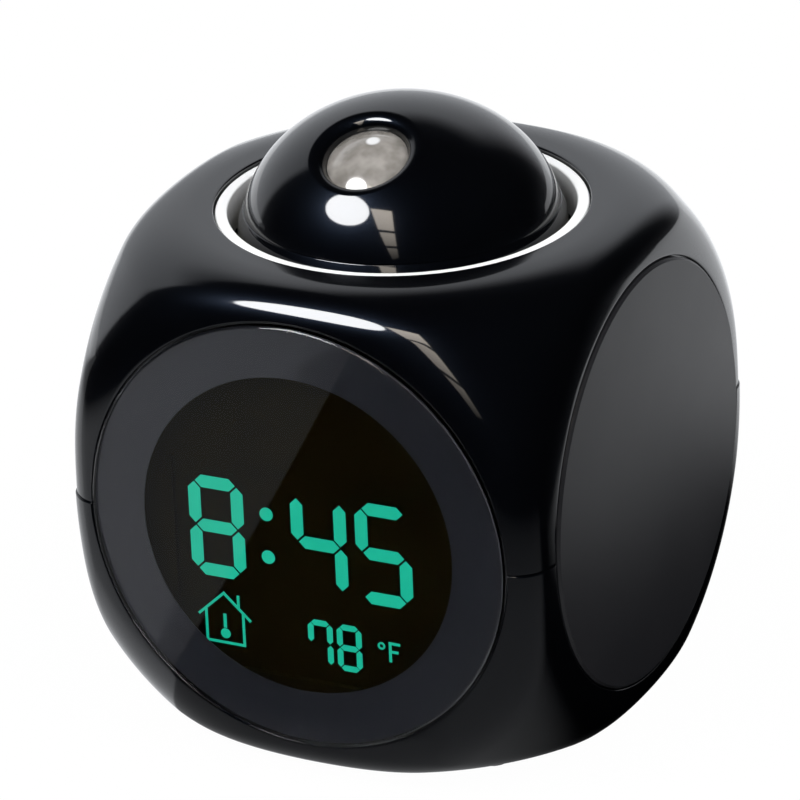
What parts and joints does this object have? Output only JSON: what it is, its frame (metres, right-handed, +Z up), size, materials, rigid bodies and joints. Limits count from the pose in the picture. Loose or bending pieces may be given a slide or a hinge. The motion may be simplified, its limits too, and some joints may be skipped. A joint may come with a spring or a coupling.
{
  "type": "projection alarm clock",
  "caption": "Rounded cube alarm clock with a round front display, side panels and a pressable, turning dome on top that holds a tilted projection lens.",
  "frame": {"origin": "on the standing surface, under the middle of the casing", "axes": "+X to the right of a person who faces the display, +Y from the display to the rear, +Z up through the dome"},
  "size_m": [0.1006, 0.1006, 0.1195],
  "materials": {
    "casing_black": "polished black moulded plastic",
    "satin_black": "fine satin black moulded plastic",
    "white_trim": "glossy white moulded plastic",
    "clear_lens": "clear polished acrylic",
    "mask_grey": "dark grey printed film",
    "black_foam": "black adhesive foam",
    "display_black": "dark display glass",
    "lit_green": "lit green display figures",
    "guide_clear": "clear acrylic light guide",
    "board_white": "white circuit board",
    "board_green": "green circuit board",
    "pink_rubber": "striped contact rubber",
    "inner_black": "plain black moulded plastic",
    "key_black": "satin black key plastic",
    "rubber": "soft black rubber",
    "steel_screw": "zinc-plated steel",
    "spring_steel": "spring steel wire",
    "zinc_steel": "zinc-plated sheet steel",
    "magnet_steel": "plated magnet",
    "cone_paper": "black paper cone",
    "cell_jacket": "plain grey battery jacket",
    "nickel": "nickel-plated contact metal",
    "lamp": "lamp with clear cap"
  },
  "bodies": {
    "casing": {"adhesive_rings": "black_foam", "backlight_strip": "board_white", "battery_box": "inner_black", "battery_cell_1": "cell_jacket", "battery_cell_2": "cell_jacket", "battery_cell_3": "cell_jacket", "casing_screws": "steel_screw", "contact_rubber": "pink_rubber", "contacts_lower": "nickel", "contacts_upper": "nickel", "dc_jack": "inner_black", "dc_jack_pin": "nickel", "display_frame": "inner_black", "display_glass": "display_black", "display_segments": "lit_green", "foot_1": "rubber", "foot_2": "rubber", "foot_3": "rubber", "foot_4": "rubber", "front_lens": "clear_lens", "key_base": "inner_black", "key_board": "board_green", "key_spring_1": "spring_steel", "key_spring_2": "spring_steel", "key_spring_3": "spring_steel", "key_switches": "zinc_steel", "lens_mask": "mask_grey", "light_guide": "guide_clear", "lower_casing": "casing_black", "main_board": "board_green", "main_chip": "inner_black", "rear_panel": "satin_black", "ring_trim": "white_trim", "side_panel_left": "satin_black", "side_panel_right": "satin_black", "slide_switch": "zinc_steel", "small_screws": "steel_screw", "snooze_switch": "zinc_steel", "speaker_cone": "cone_paper", "speaker_frame": "zinc_steel", "speaker_magnet": "magnet_steel", "temperature_sensor": "inner_black", "upper_casing": "casing_black"},
    "snooze_key": {"snooze_key": "casing_black"},
    "projector_head": {"dome": "casing_black", "head_base": "inner_black", "swivel_clip": "inner_black", "projector_barrel": "inner_black", "projection_lens": "clear_lens", "image_slide": "display_black", "condenser_lens": "clear_lens", "led_board": "board_white", "projector_led": "lamp", "head_screws": "steel_screw"},
    "key_set": {"key_set": "key_black"},
    "key_up": {"key_up": "key_black"},
    "key_down": {"key_down": "key_black"},
    "key_alarm": {"key_alarm": "key_black"},
    "switch_knob": {"switch_knob": "key_black"},
    "battery_door": {"battery_door": "satin_black"}
  },
  "joints": [
    {"name": "snooze_press", "type": "slide", "parent": "casing", "child": "snooze_key", "axis": [0, 0, -1], "range_m": [0, 0.0015], "stiffness_N_per_m": 900, "springref_m": -0.0012, "deforming": ["key_spring_1", "key_spring_2", "key_spring_3"]},
    {"name": "dome_turn", "type": "hinge", "parent": "snooze_key", "child": "projector_head", "pos_m": [0, 0, 0.0948], "axis": [0, 0, 1], "range_deg": [-90, 90]},
    {"name": "press_set", "type": "slide", "parent": "casing", "child": "key_set", "axis": [0, -1, 0], "range_m": [0, 0.0008], "stiffness_N_per_m": 300, "springref_m": -0.0004},
    {"name": "press_up", "type": "slide", "parent": "casing", "child": "key_up", "axis": [0, -1, 0], "range_m": [0, 0.0008], "stiffness_N_per_m": 300, "springref_m": -0.0004},
    {"name": "press_down", "type": "slide", "parent": "casing", "child": "key_down", "axis": [0, -1, 0], "range_m": [0, 0.0008], "stiffness_N_per_m": 300, "springref_m": -0.0004},
    {"name": "press_alarm", "type": "slide", "parent": "casing", "child": "key_alarm", "axis": [0, -1, 0], "range_m": [0, 0.0008], "stiffness_N_per_m": 300, "springref_m": -0.0004},
    {"name": "projector_switch", "type": "slide", "parent": "casing", "child": "switch_knob", "axis": [0, 0, 1], "range_m": [0, 0.003]},
    {"name": "door_tip", "type": "hinge", "parent": "casing", "child": "battery_door", "pos_m": [0, 0.04965, 0.01775], "axis": [-1, 0, 0], "range_deg": [0, 75]}
  ]
}
